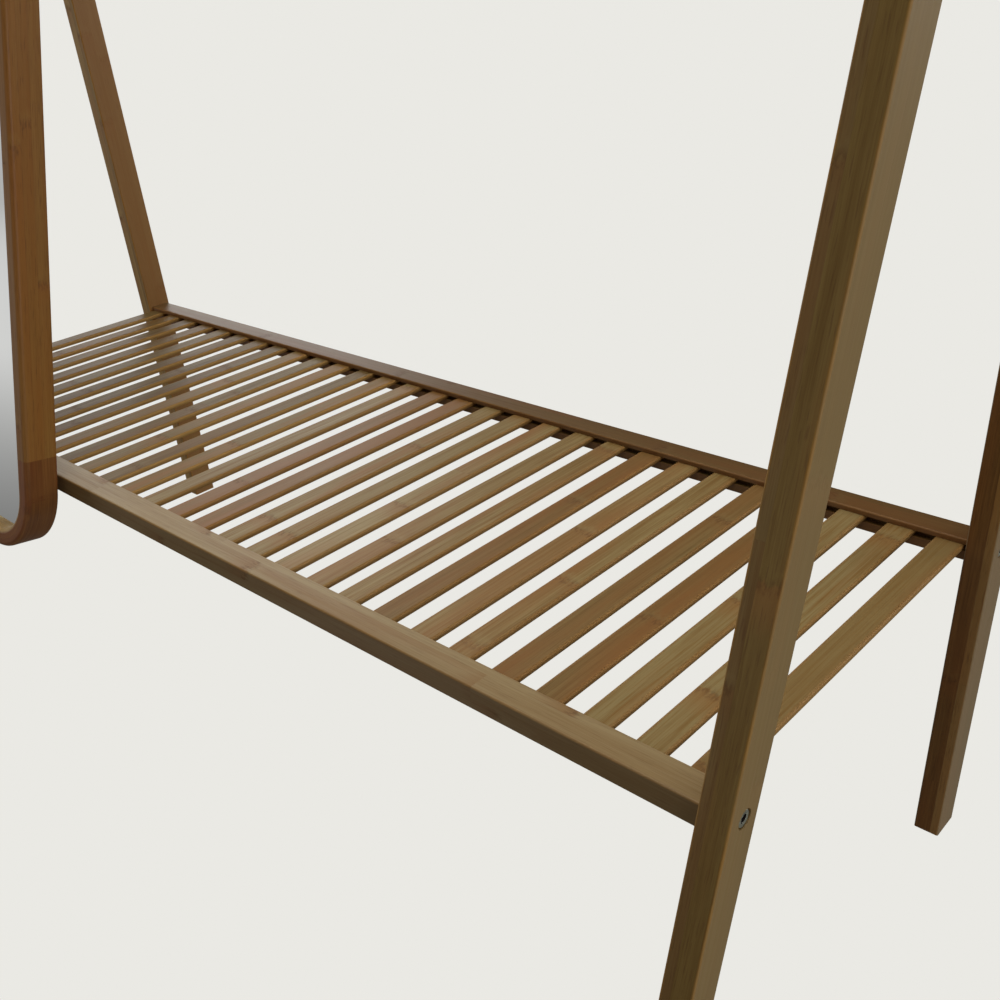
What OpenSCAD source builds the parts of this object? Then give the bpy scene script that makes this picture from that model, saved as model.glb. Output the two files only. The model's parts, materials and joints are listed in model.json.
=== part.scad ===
// Bamboo clothes rack: two A-frames, a slatted shelf, a hanging rail and a
// full-length mirror hinged in front of the front-left leg.
// The origin is on the floor, under the middle of the rack. +Z is up and -Y is the front.

/* [A-frames] */
// Clear length between the two A-frames, which every long rail fills
rail_len = 1000; // [800:10:1250]
// Height at which the centre lines of a front and a rear leg cross
apex_h = 1618; // [1300:2:2000]
// Height left on the legs above that crossing
apex_over = 32; // [20:1:60]
// Leg width, side to side
leg_w = 19; // [15:0.5:26]
// Leg thickness, square to its length
leg_t = 32.5; // [26:0.5:42]
// Radius of the eased long edges of legs and rails
ease_r = 1.5; // [0.5:0.5:3]

/* [Shelf] */
// Height of the slats' top above the floor
shelf_h = 295; // [200:5:450]
// Depth of the shelf over the outer faces of its two rails
shelf_depth = 404; // [330:2:500]
// Width of a shelf rail, front to back
rail_w = 25; // [22:0.5:32]
// Height of a shelf rail
rail_h = 17; // [16:0.5:26]
// Height of the rails' top above the slats
rail_lip = 4.5; // [3:0.5:6]
// Number of slats
slat_count = 29; // [20:1:36]
// Gap between two slats
slat_gap = 15; // [8:0.5:18]
// Gap between the last slat and the leg
slat_end_gap = 2; // [1:0.5:5]
// Slat thickness
slat_t = 5; // [4:0.5:7]
// Radius of the slats' long edges
slat_r = 1.8; // [0.5:0.1:1.9]
// How far a slat may sit from its even place
slat_wander = 0.6; // [0:0.1:1]
// Depth of the groove that holds the slats
groove_d = 7; // [5:0.5:8]
// Play of a slat in the groove's height
groove_play = 0.3; // [0.1:0.1:0.5]
// Play of a slat's end at the groove's bottom
slat_play = 0.5; // [0.2:0.1:1]

/* [Hanging rail] */
// Diameter of the hanging rail
hang_d = 28; // [22:1:32]
// Drop of the hanging rail's centre below the crossing
hang_drop = 18; // [0:1:40]

/* [Bolts] */
// Bolt thread diameter
bolt_d = 6; // [5:0.5:8]
// Radial play of a bolt in the wood
bolt_play = 0.25; // [0.1:0.05:0.5]
// Radial play of a bolt in its nut or insert
thread_play = 0.05; // [0.02:0.01:0.1]
// Shelf bolt head diameter
head_d = 11; // [9:0.5:13]
// Shelf bolt head height
head_t = 6; // [4:0.5:7]
// Radial play of a bolt head in its counterbore
head_play = 1; // [0.5:0.25:2]
// Depth of a shelf bolt head's top below the leg's face
head_sink = 0.5; // [0.5:0.5:5]
// Height of the shelf bolts above the middle of the rail
bolt_rise = 2; // [0:0.5:2]
// Shelf bolt length under the head
bolt_len = 50; // [44:1:65]
// Hexagon socket, across flats
hex_af = 5; // [4:1:6]
// Depth of the hexagon socket
hex_depth = 3; // [2:0.5:4]
// Barrel nut diameter
nut_d = 10; // [9:0.5:11]
// Distance from a shelf rail's end to its barrel nut
nut_inset = 30; // [24:1:36]
// Wood above and below a barrel nut
nut_cover = 2.5; // [2:0.5:4]
// Apex bolt head diameter
cap_d = 14; // [11:0.5:16]
// Apex bolt head thickness
cap_t = 2.2; // [1.5:0.1:3]
// Apex bolt length under the head
cap_bolt_len = 34; // [28:1:45]
// Threaded insert diameter
insert_d = 10; // [9:0.5:12]
// Threaded insert length
insert_len = 20; // [15:1:30]
// Dowel diameter
dowel_d = 6; // [5:0.5:7]
// Length of a dowel in the shelf rail
dowel_in_rail = 18; // [12:1:22]
// Length of a dowel in the leg
dowel_in_leg = 8; // [5:0.5:10]
// Distance from a shelf rail's outer face to its dowel
dowel_inset = 5; // [4.5:0.1:6]
// Radial play of a dowel, a nut or an insert in its hole
dowel_play = 0.05; // [0.02:0.01:0.1]

/* [Mirror] */
// Mirror width
mirror_w = 388; // [300:2:460]
// Drop of the mirror's lower edge below the shelf, along the leg
mirror_low = 73.5; // [40:0.5:120]
// Distance from the mirror's upper edge to the crossing, along the leg
mirror_head = 210; // [150:5:400]
// Gap between the legs and the mirror's back
mirror_gap = 4; // [3.5:0.1:6]
// Width of the frame, seen from the front
band_w = 17; // [14:0.5:24]
// Depth of the frame, front to back
band_d = 33; // [26:0.5:36]
// Outer radius of the bent corners
corner_r = 65; // [50:1:90]
// Straight length at each end of a bent corner
corner_tail = 35; // [15:1:50]
// Radius of the frame's front edges
front_r = 4.5; // [2:0.5:6]
// Radius of the frame's outer back edge
back_r = 2; // [1:0.5:3]
// Depth of the glass behind the frame's front
glass_recess = 11; // [6:0.5:14]
// Glass thickness
glass_t = 4; // [3:0.5:5]
// Backboard thickness
board_t = 3; // [2.5:0.5:4]
// Width of the rabbet that holds the glass
rabbet_w = 6; // [4:0.5:7]
// Play of the glass in the rabbet
glass_play = 0.5; // [0.3:0.1:1]

/* [Hinges] */
// Number of hinges
hinge_count = 3; // [2:1:4]
// Hinge length
hinge_len = 60; // [45:1:80]
// Hinge barrel diameter
barrel_d = 6; // [5:0.5:7]
// Hinge pin diameter
pin_d = 3; // [2:0.5:3]
// Running play of the pin in the mirror's knuckle
pin_play = 0.05; // [0.02:0.01:0.1]
// Leaf thickness
leaf_t = 1.4; // [1:0.1:1.6]
// Gap round the barrel and between its knuckles
hinge_gap = 0.3; // [0.2:0.1:0.5]
// Gap between the barrel and the leg's face
barrel_lift = 0.2; // [0.1:0.1:0.5]
// Distance from the mirror's ends to the first and last hinge
hinge_inset = 150; // [100:5:250]
// Distance between the two screws of a leaf
screw_span = 36; // [24:1:50]
// Screw diameter
screw_d = 3; // [2.5:0.1:3.5]
// Screw head diameter
screw_head_d = 5.4; // [4.5:0.1:6]
// Screw length
screw_len = 14; // [10:1:18]

/* [Bumpers] */
// Diameter of the rubber bumpers between the leg and the closed mirror
bumper_d = 7; // [5:0.5:9]
// Gap between a bumper and the mirror's back
bumper_gap = 0.2; // [0.1:0.1:0.5]

/* [Hidden] */
$fn = 48;
SLATS = [for (i = [1 : slat_count]) str("slat_", i < 10 ? "0" : "", i)];

over = 1;                                     // how far a cut runs past the solid
side_x = rail_len / 2;                        // inner face of the legs
leg_y = (shelf_depth - rail_w) / 2;           // leg's centre line at the shelf's height
lean = atan(leg_y / (apex_h - shelf_h));      // lean of every leg from upright
top_h = apex_h + apex_over;
leg_up = (top_h - shelf_h) / cos(lean) + leg_t;
leg_down = shelf_h / cos(lean) + leg_t;
hang_h = apex_h - hang_drop;
rail_z = shelf_h + rail_lip - rail_h / 2;     // middle of a shelf rail's height
bolt_z = rail_z + bolt_rise;
slat_w = (rail_len - 2 * slat_end_gap - (slat_count - 1) * slat_gap) / slat_count;
slat_pitch = slat_w + slat_gap;
slat_len = shelf_depth - 2 * (rail_w - groove_d) - 2 * slat_play;
nut_len = rail_h - 2 * nut_cover;
hole_r = bolt_d / 2 + bolt_play;
sink_r = head_d / 2 + head_play;
sink_depth = head_sink + head_t;
cap_play = 0.5;                               // play round and over an apex bolt's head

mirror_top = (apex_h - shelf_h) / cos(lean) - mirror_head;
mirror_l = mirror_top + mirror_low;
mirror_mid = (mirror_top - mirror_low) / 2;
barrel_r = barrel_d / 2;
pin_x = -side_x - leg_w + barrel_r;           // hinge axis, from the middle of the rack
pin_n = barrel_r + barrel_lift;               // hinge axis, in front of the leg's face
mirror_left = pin_x + barrel_r + hinge_gap;
mirror_right = mirror_left + mirror_w;
mirror_x = (mirror_left + mirror_right) / 2;
leaf_w = band_w - rabbet_w;                   // a leaf covers the wood behind the frame
leaf_x = mirror_left + leaf_w / 2;
knuckle_l = (hinge_len - 2 * hinge_gap) / 3;
hinge_step = (mirror_l - 2 * hinge_inset) / (hinge_count - 1);
HINGES = [for (i = [0 : hinge_count - 1]) hinge_inset - mirror_low + i * hinge_step];
glass_n = mirror_gap + band_d - glass_recess; // front of the glass, from the leg's face
board_n = glass_n - glass_t;                  // front of the backboard
point_t = 0.8;                                // glazing point's thickness
point_w = 8;
point_in = 4;                                 // how deep a point is driven into the frame
point_out = 4;                                // how far it holds the backboard

function slat_x(i) = -side_x + slat_end_gap + slat_w / 2 + i * slat_pitch
    + (i == 0 || i == slat_count - 1 ? 0 : slat_wander * sin(137 * i));

// ---- profiles and placing ----

// rectangle centred on the origin with four round corners
module round_rect(w, h, r) {
    square([w - 2 * r, h], center = true);
    square([w, h - 2 * r], center = true);
    for (x = [-1, 1], y = [-1, 1])
        translate([x * (w / 2 - r), y * (h / 2 - r)]) circle(r);
}

// the right side as drawn, or its mirror image on the left
module on_side(s) {
    if (s > 0) children();
    else mirror([1, 0, 0]) children();
}

// the front as drawn, or its mirror image at the rear
module on_end(s) {
    if (s < 0) children();
    else mirror([0, 1, 0]) children();
}

// frame of a front leg: z runs up its centre line from the shelf, -y is its front
module along_leg() {
    translate([0, -leg_y, shelf_h]) rotate([-lean, 0, 0]) children();
}

// frame of the mirror: z runs up the legs' front plane, and y runs back into the leg
module on_front() {
    along_leg() translate([0, -leg_t / 2, 0]) children();
}

module x_rod(r, from, to) {
    translate([from, 0, 0]) rotate([0, 90, 0]) cylinder(r = r, h = to - from);
}

// ---- A-frames ----

module leg_blank() {
    along_leg() translate([side_x + leg_w / 2, 0, -leg_down])
        linear_extrude(leg_down + leg_up) round_rect(leg_w, leg_t, ease_r);
}

// the half of the width that the other leg keeps, where the two legs cross
module lap_cut(outer) {
    x = side_x + (outer ? leg_w / 2 : -over);
    on_end(1) along_leg() translate([x, -leg_t / 2, 0])
        cube([leg_w / 2 + over, leg_t, leg_up]);
}

module leg_holes() {
    translate([0, -leg_y, bolt_z]) {
        x_rod(hole_r, side_x - over, side_x + leg_w + over);
        x_rod(sink_r, side_x + leg_w - sink_depth, side_x + leg_w + over);
    }
    translate([0, dowel_inset - shelf_depth / 2, rail_z])
        x_rod(dowel_d / 2 + dowel_play, side_x - over, side_x + dowel_in_leg + dowel_play);
    translate([0, 0, hang_h]) {
        x_rod(hole_r, side_x - over, side_x + leg_w + over);
        x_rod(cap_d / 2 + cap_play, side_x + leg_w - cap_t - cap_play, side_x + leg_w + over);
    }
}

module leg(side, end) {
    color(end < 0 ? "peru" : "burlywood") difference() {
        on_side(side) on_end(end) difference() {
            leg_blank();
            lap_cut(end > 0);
            leg_holes();
        }
        translate([0, 0, -leg_t]) cube([2 * rail_len, 2 * shelf_depth, 2 * leg_t], center = true);
        translate([0, 0, top_h + leg_t]) cube([2 * rail_len, shelf_depth, 2 * leg_t], center = true);
        if (side < 0 && end < 0) leg_screw_holes();
    }
}

module hanging_rail() {
    color("tan") translate([0, 0, hang_h]) difference() {
        x_rod(hang_d / 2, -side_x, side_x);
        for (s = [-1, 1]) on_side(s)
            x_rod(insert_d / 2 + dowel_play, side_x - insert_len, side_x + over);
    }
}

module apex_inserts() {
    color("goldenrod") for (s = [-1, 1]) on_side(s) translate([0, 0, hang_h]) difference() {
        x_rod(insert_d / 2, side_x - insert_len, side_x);
        x_rod(bolt_d / 2 + thread_play, side_x - insert_len - over, side_x + over);
    }
}

// a bolt along x with its head's top at the given x
module bolt(top_x, head_r, head_h, length) {
    difference() {
        union() {
            x_rod(head_r, top_x - head_h, top_x);
            x_rod(bolt_d / 2, top_x - head_h - length, top_x - head_h);
        }
        translate([top_x - min(hex_depth, head_h + over), 0, 0]) rotate([0, 90, 0])
            cylinder(d = hex_af / cos(30), h = hex_depth + over, $fn = 6);
    }
}

module apex_bolts() {
    color("silver") for (s = [-1, 1]) on_side(s) translate([0, 0, hang_h])
        bolt(side_x + leg_w - cap_play, cap_d / 2, cap_t, cap_bolt_len);
}

// ---- shelf ----

module shelf_rail(end) {
    color("darkkhaki") on_end(end) difference() {
        translate([-side_x, -leg_y, rail_z]) rotate([90, 0, 90])
            linear_extrude(rail_len) round_rect(rail_w, rail_h, ease_r);
        translate([-side_x - over, rail_w - groove_d - shelf_depth / 2, shelf_h - slat_t])
            cube([rail_len + 2 * over, groove_d + over, slat_t + groove_play]);
        for (s = [-1, 1]) on_side(s) translate([0, -leg_y, rail_z]) {
            translate([0, 0, bolt_rise]) x_rod(hole_r, side_x - bolt_len, side_x + over);
            translate([0, dowel_inset - rail_w / 2, 0])
                x_rod(dowel_d / 2 + dowel_play, side_x - dowel_in_rail - dowel_play, side_x + over);
            translate([side_x - nut_inset, 0, -rail_h / 2 - over])
                cylinder(r = nut_d / 2 + dowel_play, h = over + nut_cover + nut_len);
        }
    }
}

module each_shelf_corner() {
    for (sx = [-1, 1], sy = [-1, 1]) on_side(sx) on_end(sy) children();
}

module shelf_bolts() {
    color("silver") each_shelf_corner() translate([0, -leg_y, bolt_z])
        bolt(side_x + leg_w - head_sink, head_d / 2, head_t, bolt_len);
}

module barrel_nuts() {
    color("gray") each_shelf_corner() translate([side_x - nut_inset, -leg_y, rail_z]) difference() {
        translate([0, 0, -nut_len / 2]) cylinder(d = nut_d, h = nut_len);
        translate([0, 0, bolt_rise]) x_rod(bolt_d / 2 + thread_play, -nut_d, nut_d);
    }
}

module rail_dowels() {
    color("wheat") each_shelf_corner() translate([0, dowel_inset - shelf_depth / 2, rail_z])
        x_rod(dowel_d / 2, side_x - dowel_in_rail, side_x + dowel_in_leg);
}

module slat(i) {
    color(i % 3 == 0 ? "burlywood" : i % 3 == 1 ? "tan" : "wheat")
        translate([slat_x(i), slat_len / 2, shelf_h - slat_t / 2]) rotate([90, 0, 0])
            linear_extrude(slat_len) round_rect(slat_w, slat_t, slat_r);
}

// ---- mirror ----

// section of the frame: x runs from the outer edge inwards, y from the back to the front
module band_section() {
    difference() {
        union() {
            translate([0, back_r]) square([band_w, band_d - back_r - front_r]);
            translate([back_r, 0]) square([band_w - back_r, band_d - front_r]);
            translate([front_r, 0]) square([band_w - 2 * front_r, band_d]);
            translate([back_r, back_r]) circle(back_r);
            for (x = [front_r, band_w - front_r]) translate([x, band_d - front_r]) circle(front_r);
        }
        translate([band_w - rabbet_w, -over])
            square([rabbet_w + over, band_d - glass_recess + over]);
    }
}

// the mirror seen from the front: x to the right, y up, z towards the viewer
module mirror_face() {
    on_front() rotate([90, 0, 0]) translate([mirror_x, mirror_mid, mirror_gap]) children();
}

// a straight piece of the frame's right side, rising from y = 0
module straight_band(length) {
    translate([0, length, 0]) rotate([90, 0, 0]) mirror([1, 0, 0])
        linear_extrude(length) band_section();
}

module stile(s) {
    length = mirror_l - 2 * (corner_r + corner_tail);
    color("peru") difference() {
        mirror_face() on_side(s) translate([mirror_w / 2, -length / 2, 0]) straight_band(length);
        if (s < 0) mirror_screw_holes();
        point_slots();
    }
}

module cross_band(s) {
    length = mirror_w - 2 * (corner_r + corner_tail);
    color("peru") difference() {
        mirror_face() rotate([0, 0, 90]) on_side(s)
            translate([mirror_l / 2, -length / 2, 0]) straight_band(length);
        point_slots();
    }
}

// a quarter bend with a straight tail at each end, at the frame's upper right
module bent_corner(sx, sy) {
    color("sienna") mirror_face() on_side(sx) on_end(-sy)
        translate([mirror_w / 2 - corner_r, mirror_l / 2 - corner_r, 0]) {
            rotate_extrude(angle = 90, $fn = 96)
                translate([corner_r, 0]) mirror([1, 0, 0]) band_section();
            translate([corner_r, -corner_tail, 0]) straight_band(corner_tail);
            translate([0, corner_r, 0]) rotate([0, 0, 90]) straight_band(corner_tail);
        }
}

// the pane that fits the rabbet, from its back to its front
module pane(back_n, thickness) {
    inset = band_w - rabbet_w + glass_play;
    mirror_face() translate([0, 0, back_n - mirror_gap]) linear_extrude(thickness)
        round_rect(mirror_w - 2 * inset, mirror_l - 2 * inset, corner_r - inset);
}

module mirror_glass() {
    color("lightsteelblue") pane(glass_n - glass_t, glass_t);
}

module mirror_backboard() {
    color("saddlebrown") pane(board_n - board_t, board_t);
}

// one glazing point on the frame's right side, at mid height
module point(extra) {
    reach = point_in + point_out + glass_play;
    translate([mirror_w / 2 - (band_w - rabbet_w) + point_in - reach,
               -point_w / 2 - extra, board_n - board_t - point_t - mirror_gap - extra])
        cube([reach + extra, point_w + 2 * extra, point_t + extra]);
}

module each_point(extra) {
    along = mirror_l / 4;
    mirror_face() {
        for (s = [-1, 1], y = [-along, 0, along]) on_side(s) translate([0, y, 0]) point(extra);
        for (s = [-1, 1]) rotate([0, 0, 90]) on_side(s)
            translate([(mirror_l - mirror_w) / 2, 0, 0]) point(extra);
    }
}

module point_slots() {
    each_point(dowel_play);
}

module glazing_points() {
    color("silver") each_point(0);
}

// ---- hinges: local z is the pin's axis, x runs across the leaf, y back into the leg ----

module each_hinge() {
    on_front() for (z = HINGES) translate([pin_x, -pin_n, z]) children();
}

module knuckle(z, length, hole) {
    translate([0, 0, z]) difference() {
        cylinder(r = barrel_r, h = length);
        translate([0, 0, -over]) cylinder(r = hole, h = length + 2 * over);
    }
}

// a leaf from the barrel's middle plane; fingers are the [start, length] of its knuckles
module leaf(y, fingers, hole) {
    difference() {
        union() {
            translate([barrel_r + hinge_gap, y, -hinge_len / 2]) cube([leaf_w, leaf_t, hinge_len]);
            for (f = fingers) {
                translate([0, y, f[0]]) cube([barrel_r + hinge_gap + over, leaf_t, f[1]]);
                translate([0, 0, f[0]]) cylinder(r = barrel_r, h = f[1]);
            }
        }
        for (f = fingers) translate([0, 0, f[0] - over]) cylinder(r = hole, h = f[1] + 2 * over);
        for (z = [-1, 1]) translate([leaf_x - pin_x, 0, z * screw_span / 2]) rotate([-90, 0, 0])
            cylinder(d = screw_d + 2 * dowel_play, h = 2 * band_d, center = true);
        children();
    }
}

LEG_KNUCKLES = [[-hinge_len / 2, knuckle_l], [hinge_len / 2 - knuckle_l, knuckle_l]];
MIRROR_KNUCKLES = [[-knuckle_l / 2, knuckle_l]];

// a countersunk screw pointing along +y, with its head's top at y = 0
module screw(extra) {
    head_h = (screw_head_d - screw_d) / 2;
    rotate([-90, 0, 0]) {
        cylinder(d = screw_d + 2 * extra, h = screw_len + extra);
        cylinder(d1 = screw_head_d + 2 * extra, d2 = screw_d + 2 * extra, h = head_h);
    }
}

module leg_screws(extra) {
    for (z = [-1, 1]) translate([leaf_x - pin_x, pin_n - leaf_t, z * screw_span / 2]) screw(extra);
}

module mirror_screws(extra) {
    for (z = [-1, 1]) translate([leaf_x - pin_x, pin_n - mirror_gap + leaf_t, z * screw_span / 2])
        mirror([0, 1, 0]) screw(extra);
}

module leg_screw_holes() {
    each_hinge() leg_screws(dowel_play);
}

module mirror_screw_holes() {
    each_hinge() mirror_screws(dowel_play);
}

module hinge_leaves_leg() {
    color("darkgray") each_hinge()
        leaf(pin_n - leaf_t, LEG_KNUCKLES, pin_d / 2) leg_screws(dowel_play);
}

module hinge_leaves_mirror() {
    color("gainsboro") each_hinge()
        leaf(pin_n - mirror_gap, MIRROR_KNUCKLES, pin_d / 2 + pin_play) mirror_screws(dowel_play);
}

module hinge_pins() {
    color("dimgray") each_hinge()
        translate([0, 0, -hinge_len / 2]) cylinder(d = pin_d, h = hinge_len);
}

module hinge_screws_leg() {
    color("silver") each_hinge() leg_screws(0);
}

module hinge_screws_mirror() {
    color("silver") each_hinge() mirror_screws(0);
}

// ---- bumpers ----

// one between each two hinges, on the leg's front face behind the mirror's stile
module mirror_bumpers() {
    color("black") on_front() for (i = [1 : hinge_count - 1])
        translate([leaf_x, 0, (HINGES[i - 1] + HINGES[i]) / 2])
            rotate([90, 0, 0]) cylinder(d = bumper_d, h = mirror_gap - bumper_gap);
}

leg(-1, -1);  // leg_front_left
leg(1, -1);  // leg_front_right
leg(-1, 1);  // leg_rear_left
leg(1, 1);  // leg_rear_right
hanging_rail();
shelf_rail(-1);  // shelf_rail_front
shelf_rail(1);  // shelf_rail_rear
shelf_bolts();
barrel_nuts();
rail_dowels();
apex_bolts();
apex_inserts();
stile(-1);  // mirror_stile_left
stile(1);  // mirror_stile_right
cross_band(1);  // mirror_rail_top
cross_band(-1);  // mirror_rail_bottom
bent_corner(-1, 1);  // mirror_corner_top_left
bent_corner(1, 1);  // mirror_corner_top_right
bent_corner(-1, -1);  // mirror_corner_bottom_left
bent_corner(1, -1);  // mirror_corner_bottom_right
mirror_glass();
mirror_backboard();
glazing_points();
hinge_leaves_leg();
hinge_leaves_mirror();
hinge_pins();
hinge_screws_leg();
hinge_screws_mirror();
mirror_bumpers();
for (i = [0 : slat_count - 1]) slat(i);
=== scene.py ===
import json
import math
import bpy
from mathutils import Matrix, Vector


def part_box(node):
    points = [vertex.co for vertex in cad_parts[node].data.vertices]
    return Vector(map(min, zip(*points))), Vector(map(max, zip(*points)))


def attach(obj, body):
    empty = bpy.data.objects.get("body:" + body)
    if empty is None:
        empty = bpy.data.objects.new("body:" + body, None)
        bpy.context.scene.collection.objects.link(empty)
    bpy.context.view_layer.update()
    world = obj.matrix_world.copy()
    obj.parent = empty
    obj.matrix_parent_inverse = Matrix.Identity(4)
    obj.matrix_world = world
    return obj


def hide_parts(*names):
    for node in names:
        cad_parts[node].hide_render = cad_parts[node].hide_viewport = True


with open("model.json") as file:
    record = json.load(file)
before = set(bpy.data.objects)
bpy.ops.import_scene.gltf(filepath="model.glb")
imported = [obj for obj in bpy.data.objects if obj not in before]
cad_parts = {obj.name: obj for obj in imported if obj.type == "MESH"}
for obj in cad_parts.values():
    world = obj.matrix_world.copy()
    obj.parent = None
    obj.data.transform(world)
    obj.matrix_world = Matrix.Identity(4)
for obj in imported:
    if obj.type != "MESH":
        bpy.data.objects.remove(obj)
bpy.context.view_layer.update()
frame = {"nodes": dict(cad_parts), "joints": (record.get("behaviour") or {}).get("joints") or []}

nodes = frame["nodes"]
print("frame loaded:", len(nodes), "nodes")

# places read from the frame

upLeg = -Vector(frame["joints"][0]["axis"])   # the mirror's hinge runs down along the front legs


def boxOf(node):
    low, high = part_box(node)
    return Vector(low), Vector(high)


def middleOf(node):
    low, high = boxOf(node)
    return (low + high) / 2


def turnFor(along, across):
    # euler angles of a frame with x along the grain and y near the given direction
    x = Vector(along).normalized()
    z = x.cross(Vector(across)).normalized()
    return Matrix((x, z.cross(x), z)).transposed().to_euler("XYZ")


frontTurn = turnFor(upLeg, (0, -1, 0))
rearTurn = turnFor((0, -upLeg.y, upLeg.z), (0, 1, 0))
alongX = turnFor((1, 0, 0), (0, -1, 0))
alongY = turnFor((0, 1, 0), (1, 0, 0))
mirrorAcross = turnFor((1, 0, 0), upLeg)      # along the mirror's top and bottom rails

# camera

camera = {
    "place": (0.7036, -0.6533, 0.7252),
    "turn": (63.65, 4.20, 47.96),             # degrees about x, y and z
    "lens": 39.8,
    "sensor": 36,
    "shift": (0.231, -0.0076),
    "nearest": 0.02,                          # nothing closer than this is drawn
}


def placeCamera():
    lens = bpy.data.cameras.new("camera")
    lens.lens = camera["lens"]
    lens.sensor_width = camera["sensor"]
    lens.shift_x, lens.shift_y = camera["shift"]
    lens.clip_start = camera["nearest"]
    held = bpy.data.objects.new("camera", lens)
    held.location = camera["place"]
    held.rotation_euler = [math.radians(a) for a in camera["turn"]]
    bpy.context.scene.collection.objects.link(held)
    bpy.context.scene.camera = held


placeCamera()
print("camera placed")

# short calls for building a node tree


class Graph:
    def __init__(self, tree):
        self.tree = tree

    def put(self, socket, value):
        if isinstance(value, bpy.types.NodeSocket):
            self.tree.links.new(value, socket)
        else:
            socket.default_value = value

    def add(self, kind, inputs=(), **settings):
        node = self.tree.nodes.new(kind)
        for key, value in settings.items():
            setattr(node, key, value)
        for key, value in dict(inputs).items():
            self.put(node.inputs[key], value)
        return node

    def math(self, operation, a, b=0.0, c=0.0, clamp=False):
        node = self.add("ShaderNodeMath", operation=operation, use_clamp=clamp)
        for socket, value in zip(node.inputs, (a, b, c)):
            self.put(socket, value)
        return node.outputs[0]

    def ramp(self, value, fromLow, fromHigh, low=0.0, high=1.0):
        # smooth step from one value to another
        node = self.add("ShaderNodeMapRange", {"Value": value, "To Min": low, "To Max": high,
                                               "From Min": fromLow, "From Max": fromHigh},
                        interpolation_type="SMOOTHSTEP")
        return node.outputs["Result"]

    def mix(self, factor, a, b):
        return self.add("ShaderNodeMix", {0: factor, 6: a, 7: b}, data_type="RGBA").outputs[2]

    def vector(self, x, y, z):
        return self.add("ShaderNodeCombineXYZ", {"X": x, "Y": y, "Z": z}).outputs[0]

    def parts(self, vector):
        return self.add("ShaderNodeSeparateXYZ", {"Vector": vector}).outputs

    def noise(self, place, scale=1.0, detail=2.0, rough=0.5):
        node = self.add("ShaderNodeTexNoise", {"Vector": place, "Scale": scale,
                                               "Detail": detail, "Roughness": rough})
        return node.outputs["Fac"]

    def white(self, x, y, z):
        node = self.add("ShaderNodeTexWhiteNoise", {"Vector": self.vector(x, y, z)})
        return self.add("ShaderNodeSeparateColor", {"Color": node.outputs["Color"]}).outputs


def newGroup(name, inputs, outputs):
    group = bpy.data.node_groups.new(name, "ShaderNodeTree")
    kinds = {"value": "NodeSocketFloat", "vector": "NodeSocketVector", "colour": "NodeSocketColor"}
    for side, sockets in (("INPUT", inputs), ("OUTPUT", outputs)):
        for label, kind in sockets.items():
            group.interface.new_socket(label, in_out=side, socket_type=kinds[kind])
    start = group.nodes.new("NodeGroupInput")
    end = group.nodes.new("NodeGroupOutput")
    return Graph(group), start.outputs, end.inputs


# bamboo

strips = {
    # fibre noise: how fine it is along the grain and across it, its detail, its roughness
    "cloud": (4.5, 50.0, 2.0),
    "broad": (3.0, 110.0, 2.0),
    "middling": (7.0, 380.0, 3.0),
    "fine": (22.0, 1300.0, 2.0, 0.6),
    "dash": (60.0, 1250.0, 1.0),
    "wobble": (60.0, 240.0, 2.0),
    "blot": (230.0, 620.0, 2.0),
    # the noise at which a mark begins to show and is full
    "dashShows": (0.57, 0.70),
    "blotShows": (0.38, 0.64),
    "paleShows": (0.30, 0.58),
    # steps that keep the random numbers of neighbouring strips apart
    "pieceStep": 7.31,
    "rowStep": 17.0,
    "slide": 5.0,
    # a knuckle: its place in its stretch, then distances along the grain from its middle
    "placeStart": 0.15,
    "placeSpread": 0.7,
    "unevenness": 0.011,
    "band": (0.0080, 0.0015),
    "redBefore": (-0.034, -0.002),
    "redAfter": (0.003, 0.0),
    "paleFrom": (0.001, 0.005),
    "paleTo": (0.016, 0.006),
    "glueLine": 0.00045,
    # how strongly each mark colours the wood
    "toneStart": 0.45,
    "redSpread": 0.5,
    "knuckleRed": 0.55,
    "knucklePale": 0.45,
    "blotDark": 0.42,
    "lineDark": 0.22,
    "roughness": 0.42,
    "roughSpread": 0.18,
    "blotRough": 0.08,
    # how far each mark stands up, or lies in where it is below 0
    "fineRise": 0.6,
    "dashRise": -1.2,
    "lineRise": -0.8,
    "blotRise": -0.4,
}


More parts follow.
